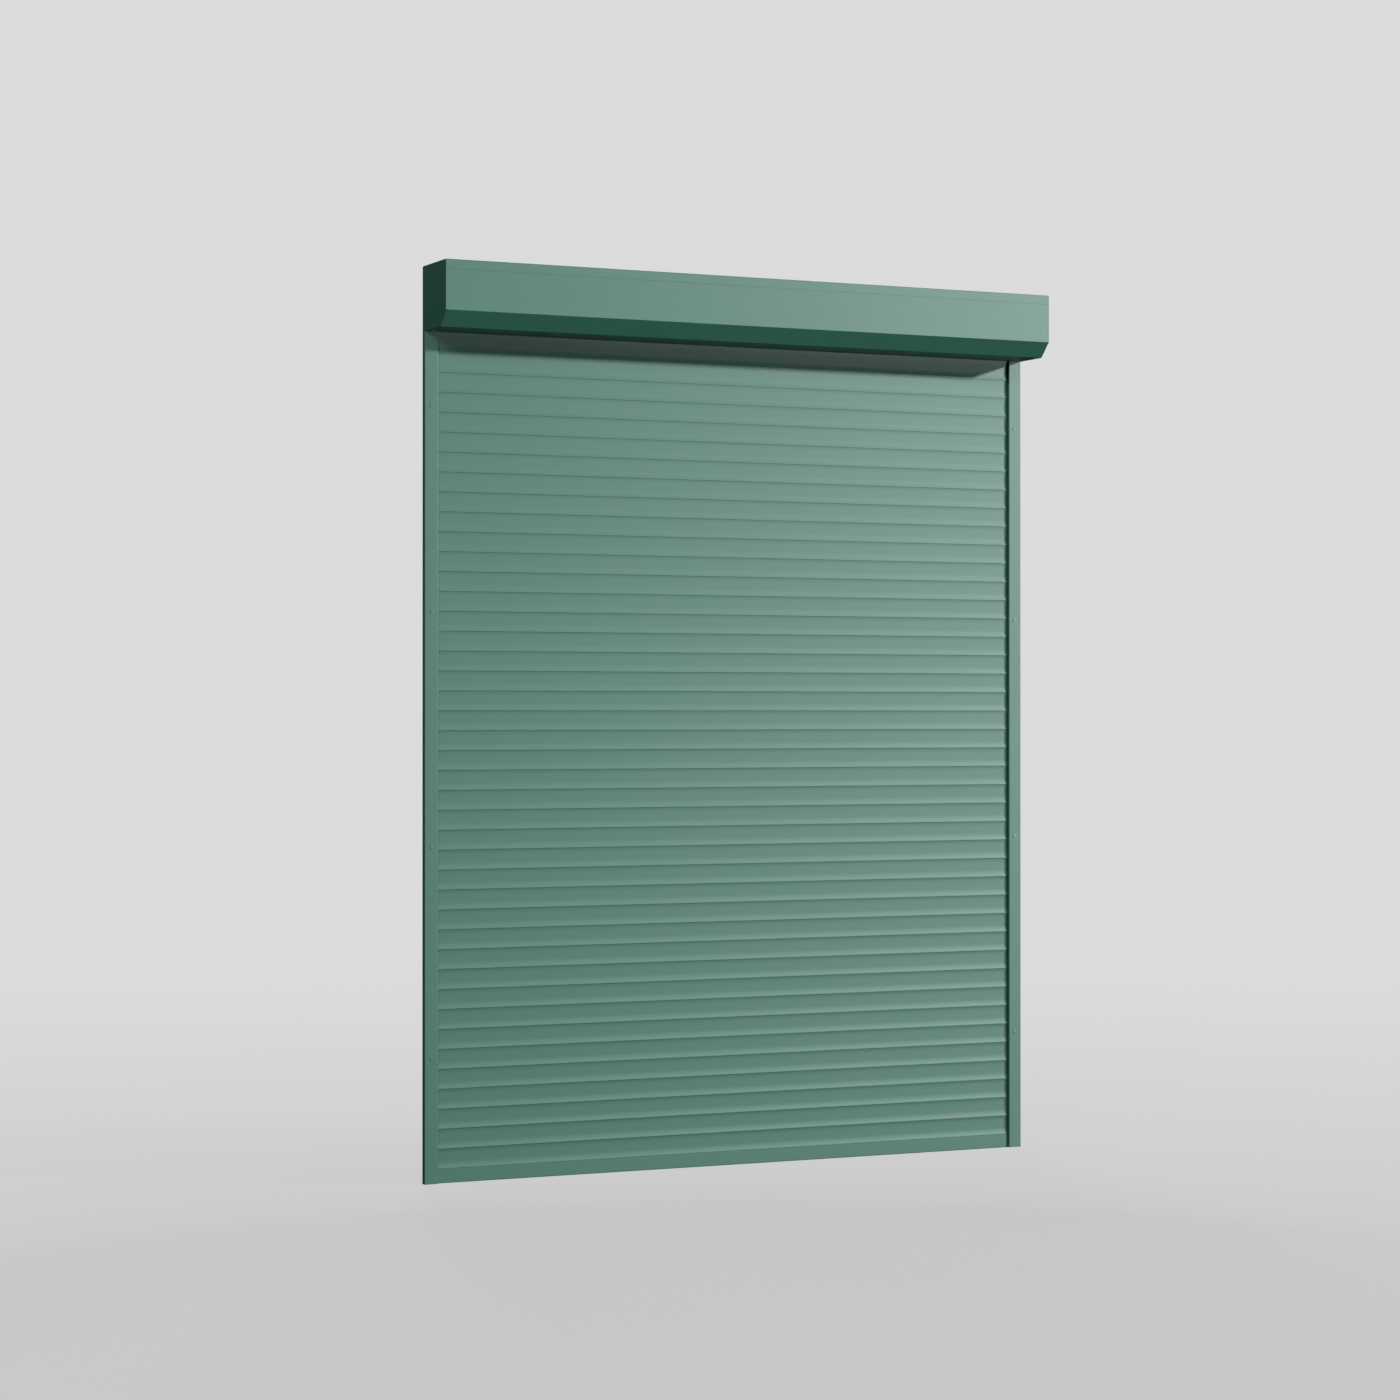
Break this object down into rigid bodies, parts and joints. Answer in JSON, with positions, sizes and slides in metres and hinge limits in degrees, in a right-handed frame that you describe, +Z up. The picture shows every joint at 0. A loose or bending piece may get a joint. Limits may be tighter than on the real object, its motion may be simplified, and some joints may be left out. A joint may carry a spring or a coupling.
{
  "type": "exterior roller shutter",
  "caption": "Exterior roller shutter: a square casing with a chamfered edge, two side guides and a curtain of hooked slats that a tube motor winds up.",
  "frame": {"origin": "on the sill line, under the middle of the shutter's width and of the casing's depth", "axes": "+X along the wall towards the idler end, +Y into the wall, +Z up"},
  "size_m": [1.9, 0.18, 2.53],
  "materials": {
    "green_powder_coat": "satin",
    "green_cast": "satin",
    "green_plastic": "satin",
    "black_plastic": "matte",
    "black_rubber": "matte",
    "galvanised_steel": "satin",
    "motor_grey": "satin",
    "motor_head_plastic": "matte",
    "bright_steel": "polished",
    "zinc_steel": "satin",
    "spring_steel": "satin"
  },
  "bodies": {
    "housing": {"rear_cover": "green_powder_coat", "front_cover": "green_powder_coat", "left_end_plate": "green_cast", "right_end_plate": "green_cast", "cover_screws": "zinc_steel", "motor_bracket": "galvanised_steel", "motor_bracket_screws": "zinc_steel", "motor_retaining_pin": "zinc_steel", "motor_head": "motor_head_plastic", "motor_tube": "motor_grey", "bearing_holder": "galvanised_steel", "bearing_holder_screws": "zinc_steel", "bearing_outer_ring": "bright_steel", "bearing_balls": "bright_steel", "cable_grommet": "black_rubber", "left_guide": "green_powder_coat", "right_guide": "green_powder_coat", "left_guide_seal": "black_rubber", "right_guide_seal": "black_rubber", "left_guide_plugs": "green_plastic", "right_guide_plugs": "green_plastic", "left_guide_inlet": "black_plastic", "right_guide_inlet": "black_plastic"},
    "barrel": {"barrel_tube": "galvanised_steel", "crown_ring": "black_plastic", "drive_wheel": "black_plastic", "motor_output_shaft": "bright_steel", "idler_capsule": "black_plastic", "idler_pin": "bright_steel", "bearing_inner_ring": "bright_steel", "barrel_rivets": "zinc_steel"},
    "curtain": {"bottom_bar": "green_powder_coat", "bottom_seal": "black_rubber", "left_bar_end_cap": "black_plastic", "right_bar_end_cap": "black_plastic", "left_end_locks": "black_plastic", "right_end_locks": "black_plastic", "hanger_straps": "spring_steel", "slats_01_02": "green_powder_coat", "slats_03_04": "green_powder_coat", "slats_05_06": "green_powder_coat", "slats_07_08": "green_powder_coat", "slats_09_10": "green_powder_coat", "slats_11_12": "green_powder_coat", "slats_13_14": "green_powder_coat", "slats_15_16": "green_powder_coat", "slats_17_18": "green_powder_coat", "slats_19_20": "green_powder_coat", "slats_21_22": "green_powder_coat", "slats_23_24": "green_powder_coat", "slats_25_26": "green_powder_coat", "slats_27_28": "green_powder_coat", "slats_29_30": "green_powder_coat", "slats_31_32": "green_powder_coat", "slats_33_34": "green_powder_coat", "slats_35_36": "green_powder_coat", "slats_37_38": "green_powder_coat", "slats_39_40": "green_powder_coat", "slats_41_42": "green_powder_coat", "slats_43_44": "green_powder_coat"}
  },
  "joints": [
    {"name": "curtain_lift", "type": "slide", "parent": "housing", "child": "curtain", "axis": [0, 0, 1], "range_m": [0, 2.3], "deforming": ["slats_01_02", "slats_03_04", "slats_05_06", "slats_07_08", "slats_09_10", "slats_11_12", "slats_13_14", "slats_15_16", "slats_17_18", "slats_19_20", "slats_21_22", "slats_23_24", "slats_25_26", "slats_27_28", "slats_29_30", "slats_31_32", "slats_33_34", "slats_35_36", "slats_37_38", "slats_39_40", "slats_41_42", "slats_43_44", "left_end_locks", "right_end_locks", "hanger_straps"]},
    {"name": "barrel_spin", "type": "hinge", "parent": "housing", "child": "barrel", "pos_m": [0, 0, 2.44], "axis": [1, 0, 0], "range_deg": [-5, 2300]}
  ],
  "couplings": [
    {"joint": "barrel_spin", "follows": "curtain_lift", "rad_per_m": 17.39}
  ]
}
